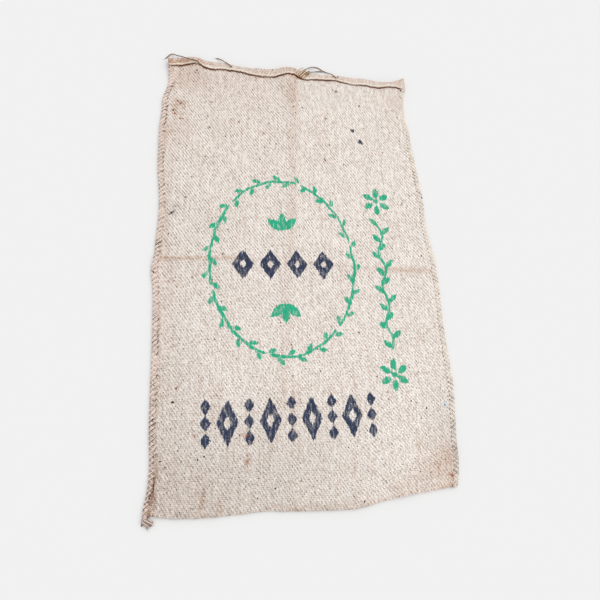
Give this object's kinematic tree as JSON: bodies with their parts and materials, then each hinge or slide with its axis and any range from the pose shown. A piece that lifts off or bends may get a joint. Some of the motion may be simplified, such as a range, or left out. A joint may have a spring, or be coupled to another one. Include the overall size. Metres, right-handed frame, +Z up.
{
  "type": "empty jute sack",
  "caption": "Empty jute sack lying flat: one length of twill cloth folded at the bottom, sewn at both sides, hemmed at its open mouth, with loose ends of twine.",
  "frame": {"origin": "on the ground under the middle of the sack, loose twine left out", "axes": "+Y along the sack towards its mouth, +X to the right of someone who looks from the bottom fold to the mouth, +Z up from the ground"},
  "size_m": [0.7161, 1.1616, 0.0207],
  "materials": {
    "jute_twill": "coarse undyed jute twill with dark slubs, stains and a worn stencil print",
    "seam_twine": "hairy undyed jute twine, browner than the cloth",
    "hem_twine": "dark brown jute twine",
    "closing_twine": "pale frayed jute twine with brown ends"
  },
  "bodies": {
    "root": {"sack_cloth": "jute_twill", "side_seam_left": "seam_twine", "side_seam_right": "seam_twine", "seam_tail": "seam_twine", "hem_twine_front": "hem_twine", "hem_twine_back": "hem_twine", "closing_knot": "closing_twine", "thread_left": "closing_twine", "thread_short": "closing_twine", "thread_arch": "closing_twine", "thread_low": "closing_twine", "strand_over": "closing_twine"}
  },
  "joints": []
}
